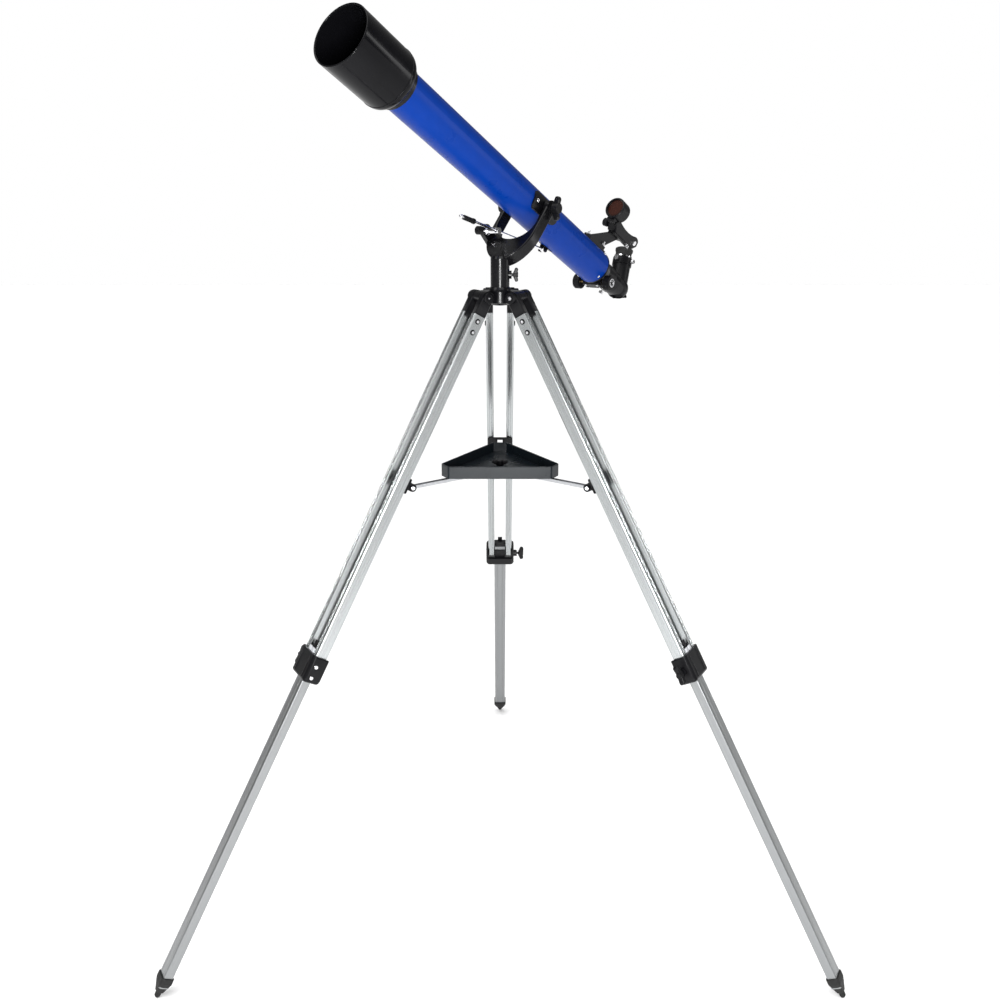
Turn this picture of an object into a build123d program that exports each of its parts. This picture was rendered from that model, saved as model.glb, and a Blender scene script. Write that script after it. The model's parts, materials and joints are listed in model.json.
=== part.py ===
from build123d import *
from math import cos, hypot, pi, radians, sin, tan
import os

# A small refracting telescope on a fork (yoke) altazimuth head and a folding aluminium tripod.
# Millimetres, +Z up. Everything is first built round the tripod's vertical axis and then moved, so
# that the origin lies on the floor under the middle of the whole object's box.

# ---------------------------------------------------------------- driving sizes: tripod
LEG_SPLAY = 29.2            # a leg's tilt from the vertical, degrees
LEG_LENGTH = 1254.0         # hinge pin to the middle of the foot's round tip
LEG_DIRECTIONS = {"left": 210.0, "right": 330.0, "rear": 90.0}
HINGE_RADIUS = 35.0         # hinge pin from the vertical axis
HUB_LUG_WIDTH = 22.6
HUB_EYE_R = 10.0
RAIL_WIDTH = 12.5           # each of a leg's two channel rails, along the hinge pin
RAIL_DEPTH = 22.0
RAIL_WALL = 1.8
RAIL_GAP = 23.1             # between a leg's two rails
RAIL_TOP = 31.0             # rail's upper end below the hinge pin
BRACKET_TENON = 39.0        # how far the top bracket plugs into a rail
COLLAR_DROP = 657.0         # middle of the clamp collar below the hinge pin
RAIL_END = 652.0            # rail's lower end below the hinge pin
COLLAR_LENGTH = 46.0
COLLAR_WALL = 4.2
LOWER_LEG_WIDTH = 24.0
LOWER_LEG_DEPTH = 17.0
LOWER_LEG_WALL = 1.6
LOWER_LEG_OVERLAP = 29.0    # lower leg above the collar's middle, inside the rails
FOOT_LENGTH = 36.0
FOOT_TIP_R = 5.0
STRUT_DROP = 326.8          # strut pin, measured down the leg from the hinge pin
STRUT_INSET = 30.3          # strut pin, inward of the leg's middle plane
STRUT_SLOPE = 2.2           # a strut rises this much towards the middle, degrees
STRUT_WIDTH = 9.0
STRUT_DEPTH = 5.0
STRUT_EYE_R = 4.0
SPREADER_R = 36.0           # spreader plate's pins from the vertical axis
SPREADER_HALF = 4.5         # half the spreader plate's thickness
TRAY_FLAT = 64.0            # tray's flat sides from the axis
TRAY_CORNER = 106.0         # tray's cut corners from the axis
TRAY_HEIGHT = 20.0
TRAY_WALL = 2.2

# ---------------------------------------------------------------- driving sizes: head and fork
POST_R = 15.35
POST_TOP = 47.0             # seam between post and fork, above the hinge pins
SPIGOT_R = 10.0
FORK_LEAN = 45.0            # the fork's arms lean back from the vertical by this, degrees
FORK_REACH = 117.0          # post top to altitude axis, along the arms
FORK_HALF_GAP = 36.0        # inner face of an arm from the middle
FORK_ARM = 8.0              # arm thickness
FORK_WIDTH = 22.0           # arm width
FORK_FLOOR = 41.0           # inner floor of the U above the post top, along the arms
FORK_EAR_R = 12.5
EYE_LUG_R = 10.5            # lug on the far arm for the rod's eye bolt
PIVOT_R = 4.0
AZIMUTH = 36.4              # tube turned from the front (-Y) towards -X, degrees
ALTITUDE = 27.4             # tube above the horizon, degrees

# ---------------------------------------------------------------- driving sizes: optical tube
TUBE_R = 31.0
TUBE_WALL = 1.5
TUBE_FRONT = 372.0          # along the tube, from the altitude axis
TUBE_REAR = -232.0
SHIELD_R = 45.0
SHIELD_WALL = 2.4
SHIELD_FRONT = 480.0
SHIELD_REAR = 368.2
LENS_R = TUBE_R - 1.0
DRAWTUBE_R = 18.0
DRAWTUBE_BORE = 16.0        # takes the common 31.75 mm push fit
DRAWTUBE_TRAVEL = 60.0
PINION_PITCH_R = 5.0
PINION_TEETH = 12
FOCUS_KNOB_R = 13.5
FOCUS_KNOB_FACE = 38.4      # knob's outer face from the middle
DIAGONAL_ELBOW = -334.0
DIAGONAL_ROLL = -6.0        # eyepiece leans this way from the tube's top, degrees
DIAGONAL_HEIGHT = 60.0
ROD_BACK = 90.0             # altitude rod's pin behind the altitude axis
ROD_DEPTH = 33.0            # and below the tube's centre line
ROD_SIDE = -16.0            # sideways from the middle, towards the far arm
ROD_R = 2.25
ROD_LENGTH = 238.0
EYE_FORWARD = -14.0         # rod's eye on the fork, forward of the vertical axis
EYE_HEIGHT = 48.0           # and above the fork's middle plane at the axis
FINDER_ROLL = 15.0          # finder's place round the tube from its top, degrees
FINDER_HEIGHT = 72.0        # finder base's underside from the tube's centre line

# ---------------------------------------------------------------- clearances
RUNNING = 0.05              # radial, shafts that turn and tubes that slide
SEAT = 0.02                 # between pieces fastened together
FREE = 0.3                  # between pieces that only pass each other
EYE_PLAY = 1.1              # the rod's loose fit in its eye

# ---------------------------------------------------------------- sizes that follow
HINGE_HEIGHT = FOOT_TIP_R + LEG_LENGTH * cos(radians(LEG_SPLAY))
RAIL_MIDDLE = (RAIL_GAP + RAIL_WIDTH) / 2
RAIL_OUTSIDE = RAIL_GAP / 2 + RAIL_WIDTH
POST_TOP_HEIGHT = HINGE_HEIGHT + POST_TOP
FORK_BASE_HEIGHT = POST_TOP_HEIGHT + 7.0
FORK_OUTSIDE = FORK_HALF_GAP + FORK_ARM
TUBE_BORE = TUBE_R - TUBE_WALL

pieces = {}


def add(node, *solids):
    pieces.setdefault(node, []).extend(solids)


def bar(start, end, radius):
    """A round bar between two points."""
    a, b = Vector(*start), Vector(*end)
    plane = Plane(origin=a, z_dir=b - a)
    solid = Cylinder(radius, (b - a).length, align=(Align.CENTER, Align.CENTER, Align.MIN))
    return plane.location * solid


def block(low, high):
    """A box from its lowest and highest corners."""
    size = [h - l for l, h in zip(low, high)]
    middle = [(h + l) / 2 for l, h in zip(low, high)]
    return Pos(*middle) * Box(*size)


def ring(outer, inner, low, high):
    """A sleeve about Z."""
    return bar((0, 0, low), (0, 0, high), outer) - bar((0, 0, low - 1), (0, 0, high + 1), inner)


def turned(points):
    """A solid of revolution about Z from (radius, z) points."""
    face = make_face(Polyline(*[(r, 0, z) for r, z in points], close=True))
    return revolve(face, Axis.Z)


def screw_head(centre, direction, radius, height):
    """A domed pan head with a cross slot, standing on a surface."""
    plane = Plane(origin=Vector(*centre), z_dir=Vector(*direction))
    head = Cylinder(radius, height, align=(Align.CENTER, Align.CENTER, Align.MIN))
    head = fillet(head.edges().group_by(Axis.Z)[-1], height * 0.6)
    slot = radius * 1.1
    cross = Box(slot, slot * 0.22, height) + Box(slot * 0.22, slot, height)
    return plane.location * (head - Pos(0, 0, height * 1.1) * cross)


def wing_knob(centre, direction, upright, stem, stem_r, hub_r, length, span, thick):
    """A screw with a moulded two-winged head: the head's near face is at centre, the stem runs back."""
    side = Vector(*upright).cross(Vector(*direction))
    plane = Plane(origin=Vector(*centre), x_dir=side, z_dir=Vector(*direction))
    hub = Cylinder(hub_r, length, align=(Align.CENTER, Align.CENTER, Align.MIN))
    hub = fillet(hub.edges(), min(hub_r, length) * 0.18)
    tip = length * 0.36
    wing = make_face(
        Polyline((0, 0, 0), (0, hub_r * 0.7, 0), (0, span / 2, length - 2 * tip + 1))
        + ThreePointArc((0, span / 2, length - 2 * tip + 1), (0, span / 2 - tip * 0.1, length - tip * 0.3),
                        (0, span / 2 - tip, length))
        + Polyline((0, span / 2 - tip, length), (0, 0, length - tip * 0.6), (0, 0, 0))
    )
    wing = extrude(wing, thick / 2, dir=(1, 0, 0), both=True)
    wing = fillet(wing.edges().filter_by(Axis.X, reverse=True), thick * 0.22)
    head = hub + wing + mirror(wing, Plane.XZ)
    return plane.location * (head + bar((0, 0, -stem), (0, 0, 1), stem_r))


def knurled(radius, low, high, count, depth):
    """A round grip about Z with shallow flutes."""
    body = bar((0, 0, low), (0, 0, high), radius)
    body = chamfer(body.edges(), min(depth, 0.6))
    flute = bar((radius + depth * 0.8, 0, low - 1), (radius + depth * 0.8, 0, high + 1), depth * 1.8)
    return body - [Rot(0, 0, 360 * i / count) * flute for i in range(count)]


# ================================================================ leg, in its own frame
# Origin on the hinge pin, x outwards, y along the pin, z up the leg.

def leg_place(name):
    turn, tilt = radians(LEG_DIRECTIONS[name]), radians(LEG_SPLAY)
    hinge = (HINGE_RADIUS * cos(turn), HINGE_RADIUS * sin(turn), HINGE_HEIGHT)
    outward = (cos(tilt) * cos(turn), cos(tilt) * sin(turn), sin(tilt))
    up = (-sin(tilt) * cos(turn), -sin(tilt) * sin(turn), cos(tilt))
    return Plane(origin=hinge, x_dir=outward, z_dir=up)


def rounded_bar(depth, width, radius, low, high):
    section = Plane(origin=(0, 0, low)) * RectangleRounded(depth, width, radius)
    return extrude(section, high - low)


def leg_rail():
    """One extruded channel: rounded outside, open towards the middle, with two drawn flutes."""
    low, high = -RAIL_END, -RAIL_TOP
    outer = Pos(0, RAIL_MIDDLE, 0) * rounded_bar(RAIL_DEPTH, RAIL_WIDTH, 3.4, low, high)
    groove_depth = RAIL_DEPTH - 2 * RAIL_WALL
    groove_width = RAIL_WIDTH - RAIL_WALL
    groove = rounded_bar(groove_depth, groove_width + 6, 1.6, low - 1, high + 1)
    rail = outer - Pos(0, RAIL_GAP / 2 + (groove_width - 6) / 2, 0) * groove
    for x in (-RAIL_DEPTH / 2, RAIL_DEPTH / 2):
        for y in (RAIL_MIDDLE - 2.2, RAIL_MIDDLE + 1.2):
            rail -= bar((x, y, low - 1), (x, y, high + 1), 0.55)
    return rail


def leg_top_bracket():
    """Moulded fork: an eye on each side of the hub's lug, and a tenon in each rail."""
    inner, outer = HUB_LUG_WIDTH / 2 + FREE, RAIL_OUTSIDE - 0.3
    low = -RAIL_TOP - BRACKET_TENON
    prong = block((-RAIL_DEPTH / 2 + 0.4, inner, -RAIL_TOP), (RAIL_DEPTH / 2 - 0.4, outer, 0))
    prong = fillet(prong.edges().filter_by(Axis.Z), 2.5)
    prong += bar((0, inner, 0), (0, outer, 0), RAIL_DEPTH / 2 - 0.4)
    reach = RAIL_DEPTH / 2 - RAIL_WALL - SEAT
    side = RAIL_OUTSIDE - RAIL_WALL - SEAT
    tenon = rounded_bar(2 * reach, side - inner, 1.55, low, -RAIL_TOP)
    prong += Pos(0, (side + inner) / 2, 0) * tenon
    bridge = block((-reach, -inner - 1, low), (reach, inner + 1, low + 22))
    both = prong + mirror(prong, Plane.XZ) + bridge
    return both - bar((0, -outer - 1, 0), (0, outer + 1, 0), 3 + SEAT)


def clamp_collar():
    """Moulded clamp: holds the rails' lower ends, guides the lower leg, takes the lock screw."""
    half = COLLAR_LENGTH / 2
    middle = -COLLAR_DROP
    width = 2 * (RAIL_OUTSIDE + COLLAR_WALL)
    depth = RAIL_DEPTH + 2 * COLLAR_WALL
    body = rounded_bar(depth, width, 6.5, middle - half, middle + half)
    body = fillet(body.edges().group_by(Axis.Z)[0], 5.0)
    # the upper half is cut back slantwise on the inner side, so the rails' ends show
    slope = make_face(Polyline(
        (-depth, 0, middle - 2), (-RAIL_DEPTH / 2 + 1, 0, middle - 2),
        (depth * 0.32, 0, middle + half + 1), (-depth, 0, middle + half + 1), close=True))
    body -= extrude(slope, width, dir=(0, 1, 0), both=True)
    core = rounded_bar(RAIL_DEPTH - 1, RAIL_GAP - 2 * FREE, 2.0, middle - half + 6, middle + half - 4)
    body += core
    body += bar((0, -width / 2 - 7, middle), (0, -width / 2 + 2, middle), 6.8)
    pocket = rounded_bar(RAIL_DEPTH + 2 * SEAT, RAIL_WIDTH + 2 * SEAT, 3.4, -RAIL_END - SEAT, middle + half + 2)
    for side in (-1, 1):
        body -= Pos(0, side * RAIL_MIDDLE, 0) * pocket
    body -= rounded_bar(LOWER_LEG_DEPTH + 2 * FREE, LOWER_LEG_WIDTH + 2 * FREE, 3.0 + FREE,
                        middle - half - 1, middle + half + 2)
    body -= bar((0, -width / 2 - 9, middle), (0, 0, middle), 2.5 + RUNNING)
    return body


def leg_fasteners():
    """Hinge bolt and nut, rail screws, collar screws and the strut bracket's pin."""
    out = RAIL_OUTSIDE - 0.3
    bolt = bar((0, -out - 6.5, 0), (0, out, 0), 3.0) + screw_head((0, out, 0), (0, 1, 0), 6.2, 3.6)
    nut = Plane(origin=(0, -out, 0), z_dir=(0, -1, 0)).location * extrude(
        RegularPolygon(6.0, 6) - Circle(3.0 + SEAT), 4.6)
    solids = [bolt, nut]
    for side in (-1, 1):
        for drop in (10.0, 29.0):
            solids.append(screw_head((0, side * RAIL_OUTSIDE, -RAIL_TOP - drop), (0, side, 0), 3.0, 1.6))
    edge = RAIL_OUTSIDE + COLLAR_WALL
    for drop in (-13.0, 6.0):
        solids.append(screw_head((4.0, edge, -COLLAR_DROP + drop), (0, 1, 0), 3.2, 1.5))
    reach = STRUT_WIDTH / 2 + FREE + 2.6
    pin = bar((-STRUT_INSET, -reach, -STRUT_DROP), (-STRUT_INSET, reach, -STRUT_DROP), 2.0)
    for side in (-1, 1):
        pin += screw_head((-STRUT_INSET, side * reach, -STRUT_DROP), (0, side, 0), 3.6, 2.0)
    solids.append(pin)
    return solids


def strut_bracket():
    """Moulded bridge screwed across the rails' inner faces, with two cheeks for the strut."""
    face = -RAIL_DEPTH / 2 - SEAT
    strap = block((face - 3.2, -RAIL_OUTSIDE + 1, -STRUT_DROP - 13), (face, RAIL_OUTSIDE - 1, -STRUT_DROP + 13))
    strap = fillet(strap.edges().filter_by(Axis.X), 3.0)
    inner = STRUT_WIDTH / 2 + FREE
    bracket = strap
    for side in (-1, 1):
        cheek = block((-STRUT_INSET, 0, -STRUT_DROP - 6.5), (face - 1, 2.6, -STRUT_DROP + 6.5))
        cheek += bar((-STRUT_INSET, 0, -STRUT_DROP), (-STRUT_INSET, 2.6, -STRUT_DROP), 6.5)
        bracket += Pos(0, inner if side > 0 else -inner - 2.6, 0) * cheek
    window = block((face - 4, -inner, -STRUT_DROP - 9), (face + 1, inner, -STRUT_DROP + 9))
    pin = bar((-STRUT_INSET, -20, -STRUT_DROP), (-STRUT_INSET, 20, -STRUT_DROP), 2.0 + SEAT)
    return bracket - window - pin


def lower_leg():
    """Rounded aluminium tube that slides between the rails."""
    low, high = -LEG_LENGTH + FOOT_LENGTH - 18, -COLLAR_DROP + LOWER_LEG_OVERLAP
    tube = rounded_bar(LOWER_LEG_DEPTH, LOWER_LEG_WIDTH, 3.0, low, high)
    hollow = rounded_bar(LOWER_LEG_DEPTH - 2 * LOWER_LEG_WALL, LOWER_LEG_WIDTH - 2 * LOWER_LEG_WALL, 1.6,
                         low - 1, high - 3)
    flutes = [bar((x, y, low - 1), (x, y, high + 1), 0.5)
              for x in (-LOWER_LEG_DEPTH / 2, LOWER_LEG_DEPTH / 2) for y in (-5.5, 5.5)]
    return tube - hollow - flutes


def foot():
    """Tapered rubber cap with a small round tip."""
    top, bottom = -LEG_LENGTH + FOOT_LENGTH, -LEG_LENGTH + 7
    upper = Plane(origin=(0, 0, top - 10)) * RectangleRounded(LOWER_LEG_DEPTH + 4.4, LOWER_LEG_WIDTH + 4.4, 5.0)
    cap = extrude(upper, 10)
    end = Plane(origin=(0, 0, bottom)) * RectangleRounded(13.0, 15.0, 5.0)
    cap += loft([end, upper])
    cap = fillet(cap.edges().group_by(Axis.Z)[-1], 1.2)
    cap += Pos(0, 0, -LEG_LENGTH) * Sphere(FOOT_TIP_R) + bar((0, 0, -LEG_LENGTH), (0, 0, bottom + 1), FOOT_TIP_R)
    socket = rounded_bar(LOWER_LEG_DEPTH + 2 * SEAT, LOWER_LEG_WIDTH + 2 * SEAT, 3.0 + SEAT,
                         top - 18 - SEAT, top + 1)
    return cap - socket


def leg_lock_knob():
    edge = RAIL_OUTSIDE + COLLAR_WALL + 7
    stem = edge + 3 - LOWER_LEG_WIDTH / 2 - 0.5
    return wing_knob((0, -edge - 3, -COLLAR_DROP), (0, -1, 0), (0, 0, 1), stem, 2.5, 4.6, 11, 31, 9)


def strut_pins():
    """Strut's outer pin, inner pin and their heights, in the vertical plane of a leg (radius, z)."""
    lean = radians(LEG_SPLAY)
    reach = -STRUT_INSET * cos(lean) + STRUT_DROP * sin(lean)
    outer = (HINGE_RADIUS + reach, HINGE_HEIGHT - STRUT_INSET * sin(lean) - STRUT_DROP * cos(lean))
    inner = (SPREADER_R, outer[1] + (outer[0] - SPREADER_R) * tan(radians(STRUT_SLOPE)))
    return outer, inner


def strut():
    """Folded steel channel with an eye at each end, in the leg's vertical plane (x is the radius)."""
    outer, inner = strut_pins()
    length = hypot(outer[0] - inner[0], outer[1] - inner[1])
    beam = block((0, -STRUT_WIDTH / 2, -STRUT_DEPTH / 2), (length, STRUT_WIDTH / 2, STRUT_DEPTH / 2))
    wall = 1.3
    beam -= block((9, -STRUT_WIDTH / 2 + wall, -STRUT_DEPTH / 2 + wall), (length - 9, STRUT_WIDTH / 2 - wall, 9))
    for x in (0, length):
        beam += bar((x, -STRUT_WIDTH / 2, 0), (x, STRUT_WIDTH / 2, 0), STRUT_EYE_R)
    for x in (0, length):
        beam -= bar((x, -STRUT_WIDTH, 0), (x, STRUT_WIDTH, 0), 2.0 + RUNNING)
    return Pos(inner[0], 0, inner[1]) * Rot(0, STRUT_SLOPE, 0) * beam


for leg, direction in LEG_DIRECTIONS.items():
    place = leg_place(leg).location
    rail = leg_rail()
    add(leg + "_leg_rails", place * rail, place * mirror(rail, Plane.XZ))
    add(leg + "_leg_brackets", place * leg_top_bracket(), place * strut_bracket())
    add(leg + "_leg_collar", place * clamp_collar())
    add(leg + "_leg_fasteners", *[place * solid for solid in leg_fasteners()])
    add(leg + "_lower_leg", place * lower_leg())
    add(leg + "_foot", place * foot())
    add(leg + "_leg_lock", place * leg_lock_knob())
    add(leg + "_strut", Rot(0, 0, direction) * strut())


# ================================================================ hub, spreader and tray

def hub():
    """Cast tripod head: a lug for each leg, and the hollow post that takes the fork's spigot."""
    z = HINGE_HEIGHT
    body = turned([(0, z - 14), (14, z - 14), (19, z - 10), (19, z + 8), (17.5, z + 12),
                   (POST_R, z + 15), (POST_R, POST_TOP_HEIGHT), (0, POST_TOP_HEIGHT)])
    half = HUB_LUG_WIDTH / 2
    for turn in LEG_DIRECTIONS.values():
        lug = block((0, -half, z - HUB_EYE_R), (HINGE_RADIUS, half, z + HUB_EYE_R))
        lug += bar((HINGE_RADIUS, -half, z), (HINGE_RADIUS, half, z), HUB_EYE_R)
        lug -= bar((HINGE_RADIUS, -half - 1, z), (HINGE_RADIUS, half + 1, z), 3.0 + RUNNING)
        body += Rot(0, 0, turn) * lug
    body += bar((10, 0, POST_TOP_HEIGHT - 13), (POST_R + 3.5, 0, POST_TOP_HEIGHT - 13), 6.5)
    body -= bar((0, 0, z + 6), (0, 0, POST_TOP_HEIGHT + 1), SPIGOT_R + RUNNING)
    return body - bar((0, 0, POST_TOP_HEIGHT - 13), (POST_R + 9, 0, POST_TOP_HEIGHT - 13), 2.5 + RUNNING)


def azimuth_lock():
    centre = (POST_R + 6, 0, POST_TOP_HEIGHT - 13)
    stem = POST_R + 6 - SPIGOT_R - 0.4
    return wing_knob(centre, (1, 0, 0), (0, 0, 1), stem, 2.5, 4.2, 8, 21, 6.5)


def spreader_plate():
    """Moulded plate under the tray, with a pair of cheeks for each strut."""
    inner = strut_pins()[1][1]
    low, high = inner - SPREADER_HALF, inner + SPREADER_HALF
    plate = bar((0, 0, low), (0, 0, high), 12.0)
    gap = STRUT_WIDTH / 2 + 2 * FREE
    for turn in LEG_DIRECTIONS.values():
        for side in (gap, -gap - 2.4):
            cheek = block((6, side, low), (SPREADER_R, side + 2.4, high))
            cheek += bar((SPREADER_R, side, inner), (SPREADER_R, side + 2.4, inner), SPREADER_HALF)
            plate += Rot(0, 0, turn) * cheek
    for turn in LEG_DIRECTIONS.values():
        slot = block((13.0, -gap, low - 1), (SPREADER_R + 9, gap, high + 1))
        plate -= Rot(0, 0, turn) * slot
    dish = turned([(0, high - 3), (1, high - 3), (6.0, high + 0.01), (6.0, high + 1), (0, high + 1)])
    return plate - dish


def tray_floor():
    return strut_pins()[1][1] + SPREADER_HALF + 0.2


def tray_outline(grow):
    """Triangle with its corners cut, the corners towards the legs."""
    flat, corner = TRAY_FLAT + grow, TRAY_CORNER + grow
    half = (2 * flat - corner) * tan(radians(30))
    points = []
    for turn in sorted(LEG_DIRECTIONS.values()):
        c, s = cos(radians(turn)), sin(radians(turn))
        points += [(corner * c + half * s, corner * s - half * c), (corner * c - half * s, corner * s + half * c)]
    return make_face(Polyline(*points, close=True))


def tray():
    floor = tray_floor()
    low = floor - 1.8
    body = extrude(Plane(origin=(0, 0, low)) * tray_outline(0), TRAY_HEIGHT)
    body = fillet(body.edges().filter_by(Axis.Z), 4.0)
    body -= extrude(Plane(origin=(0, 0, floor + 2.4)) * tray_outline(-TRAY_WALL), TRAY_HEIGHT)
    body -= extrude(Plane(origin=(0, 0, low - 1)) * tray_outline(-TRAY_WALL), floor - low + 1)
    body = chamfer(body.edges().group_by(Axis.Z)[-1], 0.5)
    top = floor + 2.4
    for turn in sorted(LEG_DIRECTIONS.values()):
        for offset in (-9.0, 0.0, 9.0):
            rib = block((26, offset - 0.7, top - 0.5), (TRAY_CORNER - 22, offset + 0.7, top + 1.4))
            body += Rot(0, 0, turn) * rib
        drain = bar((42, 0, floor - 1), (42, 0, top + 2), 2.5)
        body -= Rot(0, 0, turn - 60) * drain
    body += ring(11.0, 5.0, top - 0.5, top + 2.2)
    return body - bar((0, 0, floor - 3), (0, 0, top + 4), 4.0 + RUNNING)


def tray_screw():
    """Wing screw through the tray's middle; its blunt cone rests in the plate's dish."""
    floor = tray_floor()
    dish = floor - 0.2 - 3.0
    head = wing_knob((0, 0, floor + 5.0), (0, 0, 1), (1, 0, 0), 2.6, 4.0, 6.5, 9.0, 25, 5.5)
    nose = turned([(0, dish + 0.8), (0.6, dish + 0.8), (4.0, dish + 2.9), (4.0, floor + 2.6), (0, floor + 2.6)])
    return head + nose


add("tripod_hub", hub())
add("azimuth_lock", azimuth_lock())
add("spreader_plate", spreader_plate())
add("accessory_tray", tray())
add("tray_screw", tray_screw())

# ================================================================ fork and altitude rod
# Fork frame: origin on the vertical axis, x towards the near arm, z up the leaning arms.

turn = radians(AZIMUTH)
FORWARD = Vector(-sin(turn), -cos(turn), 0)
SIDE = Vector(cos(turn), -sin(turn), 0)
UP = Vector(0, 0, 1)
lean = radians(FORK_LEAN)
ARM = UP * cos(lean) - FORWARD * sin(lean)
fork_base = Vector(0, 0, FORK_BASE_HEIGHT)
fork_place = Plane(origin=fork_base, x_dir=SIDE, z_dir=ARM).location
axis_point = fork_base + ARM * FORK_REACH
aim = FORWARD * cos(radians(ALTITUDE)) + UP * sin(radians(ALTITUDE))
tube_place = Plane(origin=axis_point, x_dir=SIDE, z_dir=aim).location

eye_up = EYE_HEIGHT * cos(lean) - EYE_FORWARD * sin(lean)
eye_front = EYE_HEIGHT * sin(lean) + EYE_FORWARD * cos(lean)
eye_point = fork_base + FORWARD * EYE_FORWARD + UP * EYE_HEIGHT


def fork():
    """Cast U: two flat arms on a deep bowl, a ring over the post, a spigot inside it."""
    straight = FORK_FLOOR + FORK_HALF_GAP
    shoulder = straight - 15.0
    outline = Ellipse(FORK_OUTSIDE, shoulder + 2.0)
    arms = Rectangle(2 * FORK_OUTSIDE, FORK_REACH - shoulder, align=(Align.CENTER, Align.MIN))
    outline = Pos(0, shoulder) * (outline + arms)
    outline -= Pos(0, FORK_REACH + 200) * Rectangle(4 * FORK_OUTSIDE, 400)
    outline -= Pos(0, straight) * Circle(FORK_HALF_GAP)
    outline -= Pos(0, straight) * Rectangle(2 * FORK_HALF_GAP, 300, align=(Align.CENTER, Align.MIN))
    body = extrude(Plane.XZ * outline, FORK_WIDTH / 2, both=True)
    body = fillet(body.faces().sort_by(Axis.Y)[0].edges() + body.faces().sort_by(Axis.Y)[-1].edges(), 2.6)
    for side in (-1, 1):
        inner, outer = side * FORK_HALF_GAP, side * FORK_OUTSIDE
        body += bar((inner, 0, FORK_REACH), (outer, 0, FORK_REACH), FORK_EAR_R)
    body += bar((-FORK_OUTSIDE, -eye_front, eye_up), (-FORK_HALF_GAP, -eye_front, eye_up), EYE_LUG_R)
    body += block((-FORK_OUTSIDE, -eye_front, eye_up - EYE_LUG_R), (-FORK_HALF_GAP, 0, eye_up + EYE_LUG_R))
    body -= bar((-FORK_OUTSIDE - 1, -eye_front, eye_up), (-FORK_HALF_GAP + 1, -eye_front, eye_up), 3.0 + RUNNING)
    body -= bar((-FORK_OUTSIDE - 1, 0, FORK_REACH), (FORK_OUTSIDE + 1, 0, FORK_REACH), PIVOT_R + RUNNING)
    body = fork_place * body
    body -= bar((0, 0, POST_TOP_HEIGHT - 40), (0, 0, POST_TOP_HEIGHT + FREE), 60)
    base = turned([(0, POST_TOP_HEIGHT + FREE), (POST_R, POST_TOP_HEIGHT + FREE),
                   (POST_R, POST_TOP_HEIGHT + 13), (POST_R - 2.5, POST_TOP_HEIGHT + 17),
                   (0, POST_TOP_HEIGHT + 17)])
    spigot = bar((0, 0, HINGE_HEIGHT + 7), (0, 0, POST_TOP_HEIGHT + 2), SPIGOT_R)
    return body + base + spigot


def altitude_lock(side):
    centre = (side * (FORK_OUTSIDE + 2.4), 0, FORK_REACH)
    stem = FORK_OUTSIDE + 2.4 - (TUBE_R + 3.4)
    lean_wing = (0, -0.62, 0.78)
    knob = wing_knob(centre, (side, 0, 0), lean_wing, stem, PIVOT_R, 8.5, 13, 36, 8)
    washer = ring(8.0, PIVOT_R + SEAT, 0, 1.4)
    washer = Plane(origin=(side * (FORK_OUTSIDE + 0.4), 0, FORK_REACH), z_dir=(side, 0, 0)).location * washer
    return fork_place * knob, fork_place * washer


def eye_frame():
    """At the rod's eye, x across the fork and z along the rod."""
    return Plane(origin=eye_point, x_dir=SIDE, z_dir=rod_direction)


pin_point = (tube_place * Pos(ROD_SIDE, -ROD_DEPTH, -ROD_BACK)).position
rod_vector = eye_point + SIDE * ROD_SIDE - pin_point
rod_direction = rod_vector.normalized()
pin_to_eye = rod_vector.length


def rod_eye_bolt():
    """Swivel bolt through the far arm; the rod passes through its barrel."""
    inner = -FORK_HALF_GAP
    solid = bar((inner + 3.4, 0, 0), (ROD_SIDE + 5.0, 0, 0), 5.2)
    solid += bar((inner + 0.4, 0, 0), (inner + 1.7, 0, 0), 8.0)
    solid += bar((inner + 1.6, 0, 0), (inner + 3.5, 0, 0), 6.2)
    solid += bar((-FORK_OUTSIDE - 9, 0, 0), (inner + 1, 0, 0), 3.0)
    solid -= bar((ROD_SIDE, 0, -9), (ROD_SIDE, 0, 9), ROD_R + EYE_PLAY)
    return eye_frame().location * solid


def rod_lock_nut():
    outer = -FORK_OUTSIDE
    collar = Pos(outer - 0.4, 0, 0) * Rot(0, -90, 0) * ring(5.0, 3.0 + RUNNING, 0, 3.6)
    grip = Rot(0, -90, 0) * knurled(7.0, 3.4, 13.0, 14, 0.7)
    cap = Pos(outer - 0.4, 0, 0) * (grip - bar((-12.0, 0, 0), (2, 0, 0), 3.0 + RUNNING))
    return eye_frame().location * (collar + cap)


def rod_frame():
    """At the rod's pin on the tube, x across and z along the rod."""
    return Plane(origin=pin_point, x_dir=SIDE, z_dir=rod_direction)


SLEEVE_LENGTH = 24.0


def altitude_rod():
    solid = bar((0, 0, 2), (0, 0, ROD_LENGTH - 3), ROD_R) + bar((-2.9, 0, 0), (2.9, 0, 0), 4.0)
    solid += Pos(0, 0, ROD_LENGTH - 3.2) * Sphere(3.4)
    solid -= bar((-5, 0, 0), (5, 0, 0), 1.5 + RUNNING)
    return rod_frame().location * solid


def rod_sleeve():
    """Knurled fine-adjustment sleeve with a bright collar, turning on the rod."""
    end = ROD_LENGTH - 9
    grip = knurled(3.9, end - SLEEVE_LENGTH, end, 16, 0.4)
    grip += bar((0, 0, end - SLEEVE_LENGTH - 3.5), (0, 0, end - SLEEVE_LENGTH + 0.1), 4.4)
    bore = bar((0, 0, end - SLEEVE_LENGTH - 5), (0, 0, end + 1), ROD_R + RUNNING)
    return rod_frame().location * (grip - bore)


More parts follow.
